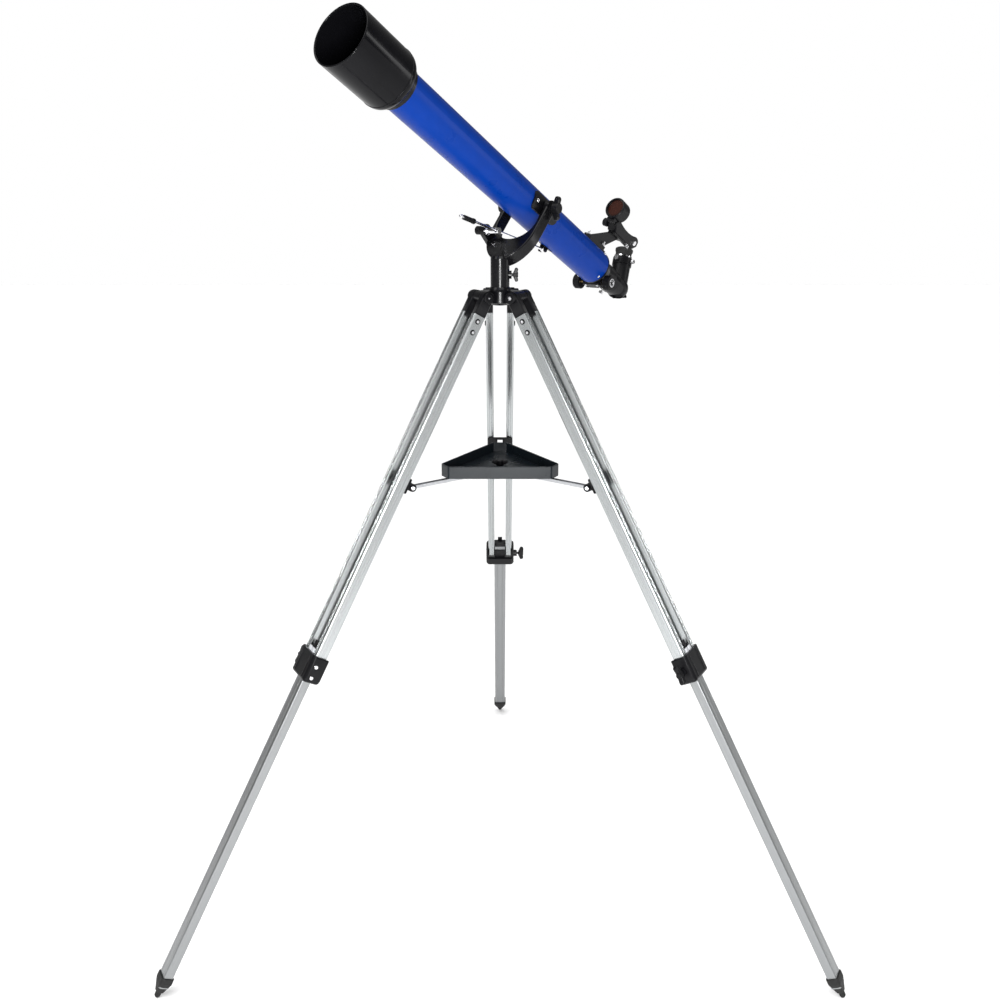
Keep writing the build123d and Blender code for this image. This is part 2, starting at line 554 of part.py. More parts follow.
add("fork", fork())
for name, side in (("near_altitude_lock", 1), ("far_altitude_lock", -1)):
    knob, washer = altitude_lock(side)
    add(name, knob, washer)
add("rod_eye_bolt", rod_eye_bolt())
add("rod_lock_nut", rod_lock_nut())
add("altitude_rod", altitude_rod())
add("rod_sleeve", rod_sleeve())

# ================================================================ optical tube
# Tube frame: origin on the altitude axis, x towards the near arm, y up, z forward along the tube.

def tube():
    shell = ring(TUBE_R, TUBE_BORE, TUBE_REAR, TUBE_FRONT)
    return shell


def saddle():
    """Curved side plates with the pivot bosses that the altitude screws turn in."""
    solids = []
    outer = TUBE_R + 3.0
    for side in (-1, 1):
        plate = ring(outer, TUBE_R + SEAT, -37, 37)
        cut = Plane.YZ * RectangleRounded(31, 74, 9)
        plate = plate & extrude(cut, side * (outer + 1))
        plate += bar((side * (TUBE_R + 1), 0, 0), (side * (FORK_HALF_GAP - FREE), 0, 0), 10.0)
        plate -= bar((0, 0, -40), (0, 0, 40), TUBE_R + SEAT)
        plate -= bar((side * (TUBE_R + 2.2), 0, 0), (side * (FORK_HALF_GAP + 2), 0, 0), PIVOT_R + RUNNING)
        solids.append(plate)
    return solids


def saddle_screws():
    return [screw_head((side * (TUBE_R + 3.0), 0, z), (side, 0, 0), 3.4, 1.7)
            for side in (-1, 1) for z in (-28.0, 28.0)]


def rod_bracket():
    """Small clevis riveted under the tube, with the pin for the altitude rod."""
    base = ring(TUBE_R + 1.0, TUBE_R + SEAT, -ROD_BACK - 14, -ROD_BACK + 14)
    base = base & block((ROD_SIDE - 9, -TUBE_R - 4, -ROD_BACK - 14), (ROD_SIDE + 9, 0, -ROD_BACK + 14))
    base -= bar((ROD_SIDE - 3.4, -ROD_DEPTH, -ROD_BACK), (ROD_SIDE + 3.4, -ROD_DEPTH, -ROD_BACK), 4.8)
    for x in (ROD_SIDE - 5.6, ROD_SIDE + 3.4):
        ear = block((x, -ROD_DEPTH, -ROD_BACK - 4.5), (x + 2.2, -TUBE_R * 0.7, -ROD_BACK + 4.5))
        ear += bar((x, -ROD_DEPTH, -ROD_BACK), (x + 2.2, -ROD_DEPTH, -ROD_BACK), 4.5)
        base += ear
    base -= bar((0, 0, -ROD_BACK - 20), (0, 0, -ROD_BACK + 20), TUBE_R + SEAT)
    pin = bar((ROD_SIDE - 8, -ROD_DEPTH, -ROD_BACK), (ROD_SIDE + 6.2, -ROD_DEPTH, -ROD_BACK), 1.5)
    head = bar((ROD_SIDE - 8.6, -ROD_DEPTH, -ROD_BACK), (ROD_SIDE - 5.6, -ROD_DEPTH, -ROD_BACK), 3.4)
    return base + pin + head


LENS_SEAT = TUBE_FRONT + 3.0


def objective_cell():
    front = LENS_SEAT + 15.5
    return turned([(TUBE_R + SEAT, TUBE_FRONT - 12), (TUBE_R + 3.4, TUBE_FRONT - 12),
                   (TUBE_R + 3.4, SHIELD_REAR - 0.3), (TUBE_R + 2.9, SHIELD_REAR - 0.3),
                   (TUBE_R + 2.9, front), (LENS_R + SEAT, front), (LENS_R + SEAT, LENS_SEAT),
                   (LENS_R - 3.5, LENS_SEAT), (LENS_R - 3.5, LENS_SEAT - 2.8), (TUBE_R + SEAT, LENS_SEAT - 2.8)])


def objective_lens():
    """Air-spaced doublet: a biconvex front glass and a weak rear glass."""
    middle = LENS_SEAT + 5.4
    rear = turned([(0, LENS_SEAT + 1.6), (LENS_R, LENS_SEAT + 0.4), (LENS_R, middle - 0.4), (0, middle - 1.6)])
    edge_low, edge_high = middle + 0.2, middle + 4.4
    dome_low = ThreePointArc((0, 0, middle - 1.2), (LENS_R * 0.5, 0, middle - 0.85), (LENS_R, 0, edge_low))
    dome_high = ThreePointArc((0, 0, edge_high + 1.6), (LENS_R * 0.5, 0, edge_high + 1.2), (LENS_R, 0, edge_high))
    sides = Line((LENS_R, 0, edge_low), (LENS_R, 0, edge_high)) + Line((0, 0, middle - 1.2), (0, 0, edge_high + 1.6))
    front = revolve(make_face(dome_low + dome_high + sides), Axis.Z)
    return [rear, front]


def lens_retainer():
    low = LENS_SEAT + 5.4 + 5.1
    return ring(LENS_R - SEAT, LENS_R - 3.0, low, low + 4)


def baffles():
    """Two stops that keep stray light off the tube's wall."""
    return [turned([(TUBE_BORE - SEAT, z - 8), (TUBE_BORE - SEAT, z + 8), (TUBE_BORE - 1.2, z + 8),
                    (TUBE_BORE - 1.2, z + 0.5), (hole, z + 0.5), (hole, z - 0.5),
                    (TUBE_BORE - 1.2, z - 0.5), (TUBE_BORE - 1.2, z - 8)])
            for z, hole in ((210.0, 24.0), (40.0, 19.0))]


def dew_shield():
    """Open hood with a rounded shoulder and a neck that pushes over the cell."""
    neck = TUBE_R + 2.9 + 0.1
    inside = SHIELD_R - SHIELD_WALL
    shoulder = SHIELD_REAR + 15
    outline = Line((neck, 0, SHIELD_REAR), (neck + 2.2, 0, SHIELD_REAR))
    outline += ThreePointArc((neck + 2.2, 0, SHIELD_REAR), (SHIELD_R - 2.4, 0, SHIELD_REAR + 5.6),
                             (SHIELD_R, 0, shoulder))
    outline += Polyline((SHIELD_R, 0, shoulder), (SHIELD_R, 0, SHIELD_FRONT - 0.8),
                        (SHIELD_R - 0.8, 0, SHIELD_FRONT), (inside + 0.6, 0, SHIELD_FRONT),
                        (inside, 0, SHIELD_FRONT - 0.6), (inside, 0, shoulder))
    outline += ThreePointArc((inside, 0, shoulder), (inside - 1.9, 0, SHIELD_REAR + 9.0),
                             (neck + 4.0, 0, SHIELD_REAR + 5.2))
    outline += Polyline((neck + 4.0, 0, SHIELD_REAR + 5.2), (neck + 2.2, 0, SHIELD_REAR + 5.2),
                        (neck + 2.2, 0, SHIELD_REAR + 19), (neck, 0, SHIELD_REAR + 19), (neck, 0, SHIELD_REAR))
    return revolve(make_face(outline), Axis.Z)


PINION_DROP = DRAWTUBE_R + 1.0 + PINION_PITCH_R
PINION_AT = TUBE_REAR - 16.0
RACK_PITCH = 2 * pi * PINION_PITCH_R / PINION_TEETH
TOOTH = 0.62                # tooth height above and below the pitch line
BACKLASH = 0.40
FOCUSER_END = TUBE_REAR - 54.0


def focuser_body():
    """Moulded focuser: plug in the tube, tapered barrel, pinion housing below."""
    z = TUBE_REAR
    body = turned([(0, z + 14), (TUBE_BORE - SEAT, z + 14), (TUBE_BORE - SEAT, z), (TUBE_R, z),
                   (TUBE_R, z - 4), (TUBE_R - 3, z - 7), (DRAWTUBE_R + 6.5, z - 20), (DRAWTUBE_R + 5, z - 24),
                   (DRAWTUBE_R + 5, FOCUSER_END + 1), (DRAWTUBE_R + 4, FOCUSER_END), (0, FOCUSER_END)])
    house = block((-17, -PINION_DROP - 8, PINION_AT - 11), (17, -8, PINION_AT + 9))
    body += fillet(house.edges().filter_by(Axis.X), 3.0)
    body -= bar((0, 0, z + 20), (0, 0, FOCUSER_END - 1), DRAWTUBE_R + RUNNING)
    body -= block((-5.2, -DRAWTUBE_R - 3.2, FOCUSER_END - 1), (5.2, -8, z + 20))
    body -= bar((-5.2, -PINION_DROP, PINION_AT), (5.2, -PINION_DROP, PINION_AT), PINION_PITCH_R + 1.6)
    body -= bar((-40, -PINION_DROP, PINION_AT), (40, -PINION_DROP, PINION_AT), 2.5 + RUNNING)
    for side in (-1, 1):
        inner, outer = side * 15.5, side * 24.0
        body += bar((inner, -PINION_DROP, PINION_AT), (side * 20.0, -PINION_DROP, PINION_AT), 6.5) \
            - bar((inner, -PINION_DROP, PINION_AT), (outer, -PINION_DROP, PINION_AT), 2.5 + RUNNING)
    return body


def focuser_screws():
    """Four body screws at the tube's rear edge and four on the pinion's cover."""
    solids = []
    for quarter in range(4):
        angle = radians(45 + 90 * quarter)
        spot = (TUBE_R * cos(angle), TUBE_R * sin(angle), TUBE_REAR + 7)
        solids.append(screw_head(spot, (cos(angle), sin(angle), 0), 2.4, 1.3))
    for x in (-12, 12):
        for z in (PINION_AT - 7, PINION_AT + 5):
            solids.append(screw_head((x, -PINION_DROP - 8, z), (0, -1, 0), 2.2, 1.3))
    return solids


def rack_outline(start, count):
    """Straight-sided teeth along z, standing on a strip."""
    pitch_line = -DRAWTUBE_R - 1.0
    root, tip = pitch_line + TOOTH + 0.25, pitch_line - TOOTH
    thick = RACK_PITCH / 2 - BACKLASH
    slant = TOOTH * tan(radians(20))
    points = [(0, pitch_line + 2.4, start)]
    for i in range(count):
        z = start - (i + 0.5) * RACK_PITCH
        points += [(0, root, z + thick / 2 + slant), (0, tip, z + thick / 2 - slant),
                   (0, tip, z - thick / 2 + slant), (0, root, z - thick / 2 - slant)]
    points.append((0, pitch_line + 2.4, start - count * RACK_PITCH))
    return make_face(Polyline(*points, close=True))


def drawtube():
    """Chromed tube with the rack below and a clamp collar at its end."""
    front, end = TUBE_REAR + 72.0, DIAGONAL_ELBOW + 30.0
    body = ring(DRAWTUBE_R, DRAWTUBE_BORE, end, front)
    body += ring(DRAWTUBE_R + 3.2, DRAWTUBE_BORE, end, FOCUSER_END - 1.0)
    teeth = int((front - PINION_AT) / RACK_PITCH) - 3
    start = PINION_AT + teeth * RACK_PITCH
    rack = extrude(rack_outline(start, teeth + 14), 4.0, dir=(1, 0, 0), both=True)
    rack = rack & block((-5, -DRAWTUBE_R - 4, FOCUSER_END + 0.5), (5, -DRAWTUBE_BORE - 0.6, front))
    return body + rack - bar((0, 0, end - 1), (0, 0, front + 1), DRAWTUBE_BORE)


def pinion():
    """Twelve-tooth gear on a bright shaft."""
    points = []
    thick = RACK_PITCH / 2 - BACKLASH
    for i in range(PINION_TEETH):
        middle = 2 * pi * i / PINION_TEETH
        for radius, half in ((PINION_PITCH_R - TOOTH - 0.25, thick * 0.68), (PINION_PITCH_R, thick * 0.5),
                             (PINION_PITCH_R + TOOTH, thick * 0.24)):
            points.append((radius, middle - half / radius))
        for radius, half in ((PINION_PITCH_R + TOOTH, thick * 0.24), (PINION_PITCH_R, thick * 0.5),
                             (PINION_PITCH_R - TOOTH - 0.25, thick * 0.68)):
            points.append((radius, middle + half / radius))
    outline = Polyline(*[(0, r * cos(a), r * sin(a)) for r, a in points], close=True)
    gear = extrude(make_face(outline), 4.0, dir=(1, 0, 0), both=True)
    gear += bar((-FOCUS_KNOB_FACE + 6.6, 0, 0), (FOCUS_KNOB_FACE - 6.6, 0, 0), 2.5)
    return Pos(0, -PINION_DROP, PINION_AT) * gear


def focus_knob(side):
    thick = 12.5
    grip = knurled(FOCUS_KNOB_R, 0, thick, 30, 0.7)
    grip -= ring(9.6, 7.6, thick - 0.8, thick + 1)
    grip -= bar((0, 0, -1), (0, 0, thick - 6.5), 2.5 + SEAT)
    place = Plane(origin=(side * (FOCUS_KNOB_FACE - thick), -PINION_DROP, PINION_AT), z_dir=(side, 0, 0))
    trim = ring(9.6 - SEAT, 7.6 + SEAT, thick - 0.8 + SEAT, thick + 0.4)
    return place.location * grip, place.location * trim


def drawtube_screws():
    """Two chromed thumbscrews that hold the diagonal."""
    solids = []
    low, high = DIAGONAL_ELBOW + 30.0, FOCUSER_END - 1.0
    z = (low + high) / 2
    for angle in (100.0, 250.0):
        c, s = cos(radians(angle)), sin(radians(angle))
        stem = DRAWTUBE_R + 3.2
        solid = bar((stem * c, stem * s, z), ((stem + 4) * c, (stem + 4) * s, z), 1.6)
        place = Plane(origin=((stem + 3) * c, (stem + 3) * s, z), z_dir=(c, s, 0)).location
        solids.append(solid + place * knurled(4.2, 0, 5, 14, 0.4))
    return solids


# diagonal's frame: origin at the elbow, z forward along the tube, y up the eyepiece barrel
diagonal_place = Pos(0, 0, DIAGONAL_ELBOW) * Rot(0, 0, -DIAGONAL_ROLL)


def diagonal_body():
    """Moulded right-angle elbow: nosepiece forward, eyepiece barrel up, slanted back wall."""
    nose_end = 58.0
    body = bar((0, 0, 4), (0, 0, 29.0), 19.0) + bar((0, 0, 20), (0, 0, nose_end), DRAWTUBE_BORE - RUNNING)
    body += Sphere(20.5)
    body += bar((0, 6, 0), (0, DIAGONAL_HEIGHT, 0), 17.0)
    body += bar((0, DIAGONAL_HEIGHT - 14, 0), (0, DIAGONAL_HEIGHT, 0), 18.6)
    bore = bar((0, 0, -30), (0, 0, nose_end + 1), 13.6)
    bore += bar((0, -30, 0), (0, 32, 0), 13.6)
    behind = Rot(45, 0, 0) * block((-40, -40, -60), (40, 40, 0))
    body -= bore - behind
    body -= bar((0, 31.9, 0), (0, DIAGONAL_HEIGHT + 1, 0), DRAWTUBE_BORE)
    return body - Rot(45, 0, 0) * block((-13.5, -17.5, -3.0), (13.5, 17.5, 0.01))


def diagonal_mirror():
    return Rot(45, 0, 0) * block((-13.4, -17.4, -2.95), (13.4, 17.4, -0.1))


def diagonal_screws():
    """Thumbscrews at the top of the barrel that hold the eyepiece."""
    solids = []
    for x, z in ((1, 0), (0, 1)):
        stem = 18.6
        y = DIAGONAL_HEIGHT - 7
        solid = bar((stem * x, y, stem * z), ((stem + 3.5) * x, y, (stem + 3.5) * z), 1.5)
        place = Plane(origin=((stem + 2.5) * x, y, (stem + 2.5) * z), z_dir=(x, 0, z)).location
        solids.append(solid + place * knurled(3.9, 0, 4.5, 14, 0.4))
    return solids


def eyepiece_body():
    """Chromed push-fit barrel with a broad flange, black body and flared eyecup."""
    top = DIAGONAL_HEIGHT
    profile = [(13.2, top - 24), (DRAWTUBE_BORE - RUNNING, top - 24), (DRAWTUBE_BORE - RUNNING, top + FREE),
               (17.4, top + FREE), (17.4, top + 3.2), (13.2, top + 3.2)]
    return Rot(-90, 0, 0) * turned(profile)


def eyecup():
    low = DIAGONAL_HEIGHT + 3.2 + SEAT
    profile = [(10.6, low), (16.6, low), (16.6, low + 2), (15.4, low + 3.4), (15.4, low + 9), (17.0, low + 12.5),
               (17.0, low + 15.5), (15.6, low + 15.5), (13.6, low + 10.5), (10.6, low + 9.0)]
    return Rot(-90, 0, 0) * turned(profile)


def eye_lens():
    low = DIAGONAL_HEIGHT + 6.0
    profile = [(0, low), (10.6 - SEAT, low), (10.6 - SEAT, low + 1.2), (0, low + 2.8)]
    return Rot(-90, 0, 0) * turned(profile)


# finder's frame: z forward along the tube, y away from the tube's centre line
finder_place = Rot(0, 0, -FINDER_ROLL)
FINDER_FRONT = TUBE_REAR + 2.0
FINDER_LENGTH = 80.0
HOOD_R = 19.5


def finder_bracket():
    """Shoe screwed to the tube, with a leaning web up to the finder."""
    low, high = TUBE_REAR + 4, TUBE_REAR + 62
    shoe = ring(TUBE_R + 2.6, TUBE_R + SEAT, low, high) & block((-11, 0, low), (11, TUBE_R + 5, high))
    shoe += block((-8, TUBE_R, low + 2), (8, TUBE_R + 7.5, high - 2)) - bar((0, 0, low), (0, 0, high), TUBE_R + 1)
    web = make_face(Polyline((0, TUBE_R + 6, high - 6), (0, FINDER_HEIGHT - SEAT, FINDER_FRONT - 4),
                             (0, FINDER_HEIGHT - SEAT, FINDER_FRONT - 30), (0, TUBE_R + 6, low + 4), close=True))
    web = extrude(web, 2.6, dir=(1, 0, 0), both=True)
    head = block((-8, FINDER_HEIGHT - 4, FINDER_FRONT - 36), (8, FINDER_HEIGHT - SEAT, FINDER_FRONT - 2))
    return shoe + web + head


def finder_nuts():
    solids = []
    for x, z in ((5.6, TUBE_REAR + 12), (-5.6, TUBE_REAR + 52)):
        place = Plane(origin=(x, TUBE_R + 7.5 + SEAT, z), z_dir=(0, 1, 0)).location
        nut = knurled(2.9, 0, 4.2, 12, 0.35) + bar((0, 0, 4), (0, 0, 7.5), 1.5)
        solids.append(place * nut)
    return solids


def finder_body():
    """Red-dot finder: long humped base with a big round hood in front."""
    y, front, rear = FINDER_HEIGHT, FINDER_FRONT, FINDER_FRONT - FINDER_LENGTH
    outline = Polyline((0, y, front), (0, y, rear + 8), (0, y + 8, rear), (0, y + 17, rear + 1)) \
        + ThreePointArc((0, y + 17, rear + 1), (0, y + 21.5, rear + 9), (0, y + 20, rear + 19)) \
        + ThreePointArc((0, y + 20, rear + 19), (0, y + 17, front - 30), (0, y + 22, front + 2)) \
        + Polyline((0, y + 22, front + 2), (0, y + 14, front + 12), (0, y, front))
    base = extrude(make_face(outline), 10.5, dir=(1, 0, 0), both=True)
    base = fillet(base.edges().filter_by(Axis.X, reverse=True), 2.2)
    centre = y + 35.0
    hood = bar((0, centre, front - 1), (0, centre, front + 25), HOOD_R)
    hood = fillet(hood.edges(), 2.5)
    collar = block((-8, y + 10, front), (8, centre - 8, front + 20))
    body = base + collar + hood
    body -= bar((0, centre, front - 4), (0, centre, front + 30), HOOD_R - 3.0)
    return body


def finder_window():
    centre = FINDER_HEIGHT + 35.0
    return Pos(0, centre, FINDER_FRONT + 18.0) * Rot(8, 0, 0) * Cylinder(HOOD_R - 3.3, 2.0)


def finder_knob():
    """Brightness wheel on the far side, under the hood."""
    place = Plane(origin=(-10.5 - FREE, FINDER_HEIGHT + 10, FINDER_FRONT + 6), z_dir=(-1, 0, 0)).location
    return place * knurled(7.4, 0, 8.5, 22, 0.45)


def finder_adjusters():
    """Two aiming screws: one below the rear, one at the side."""
    y, z = FINDER_HEIGHT, FINDER_FRONT - FINDER_LENGTH + 16
    side = Plane(origin=(10.5 + SEAT, y + 9, z), z_dir=(1, 0, 0)).location * knurled(4.6, 0, 4.0, 16, 0.4)
    below = Plane(origin=(0, y - SEAT, z), z_dir=(0, -1, 0)).location * knurled(4.6, 0, 4.0, 16, 0.4)
    return [side, below]


def on_tube(node, *solids):
    add(node, *[tube_place * solid for solid in solids])


on_tube("main_tube", tube())
on_tube("tube_brackets", *saddle(), rod_bracket())
on_tube("tube_screws", *saddle_screws(), *focuser_screws())
on_tube("objective_cell", objective_cell(), lens_retainer())
on_tube("objective_lens", *objective_lens())
on_tube("tube_baffles", *baffles())
on_tube("dew_shield", dew_shield())
on_tube("focuser_body", focuser_body())
on_tube("drawtube", drawtube())
on_tube("focus_pinion", pinion())
for side in (-1, 1):
    on_tube("focus_knobs", *focus_knob(side))
on_tube("drawtube_screws", *drawtube_screws())
on_tube("diagonal_body", diagonal_place * diagonal_body())
on_tube("diagonal_mirror", diagonal_place * diagonal_mirror())
on_tube("diagonal_screws", *[diagonal_place * solid for solid in diagonal_screws()])
on_tube("eyepiece_barrel", diagonal_place * eyepiece_body())
on_tube("eyecup", diagonal_place * eyecup())
on_tube("eye_lens", diagonal_place * eye_lens())
on_tube("finder_bracket", finder_place * finder_bracket())
on_tube("finder_screws", *[finder_place * solid for solid in finder_nuts() + finder_adjusters()])
on_tube("finder_body", finder_place * finder_body())
on_tube("finder_window", finder_place * finder_window())
on_tube("finder_knob", finder_place * finder_knob())

# ================================================================ origin and files

box = Compound([solid for solids in pieces.values() for solid in solids]).bounding_box()
ORIGIN_SHIFT = Vector(-(box.min.X + box.max.X) / 2, -(box.min.Y + box.max.Y) / 2, -box.min.Z)

if __name__ == "__main__":
    os.makedirs("parts", exist_ok=True)
    for node, solids in pieces.items():
        export_step(Pos(*ORIGIN_SHIFT) * Compound(solids), "parts/" + node + ".step")
    print(len(pieces), "nodes, box", box.size, "shift", ORIGIN_SHIFT)
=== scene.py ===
# %% [markdown]
# # A small refracting telescope on a folding tripod
# The CAD model already holds every real piece at its real size. This lesson gives each of them the finish
# that the real one has, adds the small moulded details, and sets up a plain studio round it.

# %% Load the frame
import json
from math import cos, pi, radians, sin

import bmesh
import bpy
from mathutils import Matrix, Vector


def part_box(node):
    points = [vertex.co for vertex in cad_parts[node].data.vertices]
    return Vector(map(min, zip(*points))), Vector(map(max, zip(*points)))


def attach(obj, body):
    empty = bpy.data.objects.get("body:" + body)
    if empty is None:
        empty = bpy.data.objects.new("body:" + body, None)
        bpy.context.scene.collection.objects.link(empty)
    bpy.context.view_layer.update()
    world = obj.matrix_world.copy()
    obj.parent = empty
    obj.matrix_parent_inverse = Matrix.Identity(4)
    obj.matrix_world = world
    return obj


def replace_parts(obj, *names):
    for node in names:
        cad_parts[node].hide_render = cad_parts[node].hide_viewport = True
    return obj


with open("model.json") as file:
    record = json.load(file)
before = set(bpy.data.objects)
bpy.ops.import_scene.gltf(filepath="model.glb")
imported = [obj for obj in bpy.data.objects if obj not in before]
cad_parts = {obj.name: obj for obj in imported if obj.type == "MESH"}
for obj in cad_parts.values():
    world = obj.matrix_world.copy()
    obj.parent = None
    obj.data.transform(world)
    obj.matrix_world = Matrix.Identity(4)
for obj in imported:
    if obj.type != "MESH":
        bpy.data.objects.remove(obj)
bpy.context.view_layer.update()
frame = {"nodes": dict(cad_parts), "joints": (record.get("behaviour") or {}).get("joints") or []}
nodes = frame["nodes"]
joints = {joint["name"]: joint for joint in frame["joints"]}
LEGS = ("left", "right", "rear")

# %% [markdown]
# Everything is placed from the joints. The azimuth joint stands on the tripod's own axis, a leg's sliding
# joint points up that leg, and the focuser's sliding joint points back along the tube.

# %% Directions taken from the joints
AXIS = Vector(joints["azimuth"]["pos_m"])
TUBE_AIM = Vector(joints["dew_shield_pull"]["axis"]).normalized()
ALTITUDE_PIN = Vector(joints["altitude"]["pos_m"])
TUBE_SIDE = -Vector(joints["altitude"]["axis"]).normalized()
LEG_UP = {leg: Vector(joints[leg + "_leg_extend"]["axis"]).normalized() for leg in LEGS}
LEG_HINGE = {leg: Vector(joints[leg + "_leg_fold"]["pos_m"]) for leg in LEGS}
print("tube points", [round(v, 3) for v in TUBE_AIM])


# %% [markdown]
# ## Shared shader effects
# Moulded plastic, paint and rubber all show a fine grain that breaks up their highlights. One node group makes
# that grain, and each material places it with its own scale. A group only puts out colours, values and normals.

# %% Node group helpers
def new_group(name, inputs, outputs):
    group = bpy.data.node_groups.new(name, "ShaderNodeTree")
    for socket, kind, value in inputs:
        made = group.interface.new_socket(name=socket, in_out="INPUT", socket_type=kind)
        if value is not None:
            made.default_value = value
    for socket, kind in outputs:
        group.interface.new_socket(name=socket, in_out="OUTPUT", socket_type=kind)
    return group, group.nodes.new("NodeGroupInput"), group.nodes.new("NodeGroupOutput")


def link(tree, source, target):
    tree.links.new(source, target)


# %% A fine moulded grain, with soft stains of roughness
def make_grain_group():
    group, inside, out = new_group(
        "moulded_grain",
        [("Vector", "NodeSocketVector", None), ("Scale", "NodeSocketFloat", 900.0),
         ("Strength", "NodeSocketFloat", 0.1), ("Low", "NodeSocketFloat", 0.3),
         ("High", "NodeSocketFloat", 0.45)],
        [("Roughness", "NodeSocketFloat"), ("Normal", "NodeSocketVector"), ("Mask", "NodeSocketFloat")])
    fine = group.nodes.new("ShaderNodeTexNoise")
    fine.inputs["Detail"].default_value = 3.0
    link(group, inside.outputs["Vector"], fine.inputs["Vector"])
    link(group, inside.outputs["Scale"], fine.inputs["Scale"])
    bump = group.nodes.new("ShaderNodeBump")
    bump.inputs["Distance"].default_value = 0.0002
    link(group, inside.outputs["Strength"], bump.inputs["Strength"])
    link(group, fine.outputs["Fac"], bump.inputs["Height"])
    broad = group.nodes.new("ShaderNodeTexNoise")
    broad.inputs["Scale"].default_value = 28.0
    broad.inputs["Detail"].default_value = 4.0
    link(group, inside.outputs["Vector"], broad.inputs["Vector"])
    spread = group.nodes.new("ShaderNodeMapRange")
    spread.inputs["From Min"].default_value = 0.3
    spread.inputs["From Max"].default_value = 0.7
    link(group, broad.outputs["Fac"], spread.inputs["Value"])
    link(group, inside.outputs["Low"], spread.inputs["To Min"])
    link(group, inside.outputs["High"], spread.inputs["To Max"])
    link(group, spread.outputs["Result"], out.inputs["Roughness"])
    link(group, bump.outputs["Normal"], out.inputs["Normal"])
    link(group, broad.outputs["Fac"], out.inputs["Mask"])
    return group


GRAIN = make_grain_group()


# %% Long drawn streaks, for extruded aluminium and turned metal
def make_streak_group():
    group, inside, out = new_group(
        "drawn_streaks",
        [("Vector", "NodeSocketVector", None), ("Strength", "NodeSocketFloat", 0.15),
         ("Low", "NodeSocketFloat", 0.2), ("High", "NodeSocketFloat", 0.4)],
        [("Roughness", "NodeSocketFloat"), ("Normal", "NodeSocketVector"), ("Mask", "NodeSocketFloat")])
    noise = group.nodes.new("ShaderNodeTexNoise")
    noise.inputs["Scale"].default_value = 1.0
    noise.inputs["Detail"].default_value = 5.0
    noise.inputs["Roughness"].default_value = 0.65
    link(group, inside.outputs["Vector"], noise.inputs["Vector"])
    bump = group.nodes.new("ShaderNodeBump")
    bump.inputs["Distance"].default_value = 0.0001
    link(group, inside.outputs["Strength"], bump.inputs["Strength"])
    link(group, noise.outputs["Fac"], bump.inputs["Height"])
    spread = group.nodes.new("ShaderNodeMapRange")
    spread.inputs["From Min"].default_value = 0.3
    spread.inputs["From Max"].default_value = 0.7
    link(group, noise.outputs["Fac"], spread.inputs["Value"])
    link(group, inside.outputs["Low"], spread.inputs["To Min"])
    link(group, inside.outputs["High"], spread.inputs["To Max"])
    link(group, spread.outputs["Result"], out.inputs["Roughness"])
    link(group, bump.outputs["Normal"], out.inputs["Normal"])
    link(group, noise.outputs["Fac"], out.inputs["Mask"])
    return group


STREAKS = make_streak_group()
print("groups", GRAIN.name, STREAKS.name)


# %% [markdown]
# ## Materials
# A material here is a Principled shader whose colour wanders a little between two tones and whose roughness
# and normal come from one of the two groups. The Mapping node turns and stretches the pattern, so that the
# streaks run along a leg or along the tube.

# %% One builder for all the opaque finishes
def turn_to(direction):
    """Euler angles that bring a direction in the object's coordinates onto the pattern's Z."""
    return direction.to_track_quat("Z", "Y").inverted().to_euler()


def finish(name, dark, light, group, low, high, strength, scale=900.0, stretch=None, along=None, **sockets):
    material = bpy.data.materials.new(name)
    material.use_nodes = True
    tree = material.node_tree
    shader = tree.nodes["Principled BSDF"]
    where = tree.nodes.new("ShaderNodeTexCoord")
    mapping = tree.nodes.new("ShaderNodeMapping")
    if along is not None:
        mapping.inputs["Rotation"].default_value = turn_to(along)
    turned = mapping.outputs["Vector"]
    link(tree, where.outputs["Object"], mapping.inputs["Vector"])
    if stretch is not None:
        stretcher = tree.nodes.new("ShaderNodeMapping")
        stretcher.inputs["Scale"].default_value = stretch
        link(tree, turned, stretcher.inputs["Vector"])
        turned = stretcher.outputs["Vector"]
    effect = tree.nodes.new("ShaderNodeGroup")
    effect.node_tree = group
    link(tree, turned, effect.inputs["Vector"])
    effect.inputs["Strength"].default_value = strength
    effect.inputs["Low"].default_value = low
    effect.inputs["High"].default_value = high
    if "Scale" in effect.inputs:
        effect.inputs["Scale"].default_value = scale
    tones = tree.nodes.new("ShaderNodeMix")
    tones.data_type = "RGBA"
    tones.inputs["A"].default_value = (*dark, 1.0)
    tones.inputs["B"].default_value = (*light, 1.0)
    link(tree, effect.outputs["Mask"], tones.inputs["Factor"])
    link(tree, tones.outputs["Result"], shader.inputs["Base Color"])
    link(tree, effect.outputs["Roughness"], shader.inputs["Roughness"])
    link(tree, effect.outputs["Normal"], shader.inputs["Normal"])
    for socket, value in sockets.items():
        shader.inputs[socket.replace("_", " ")].default_value = value
    return material


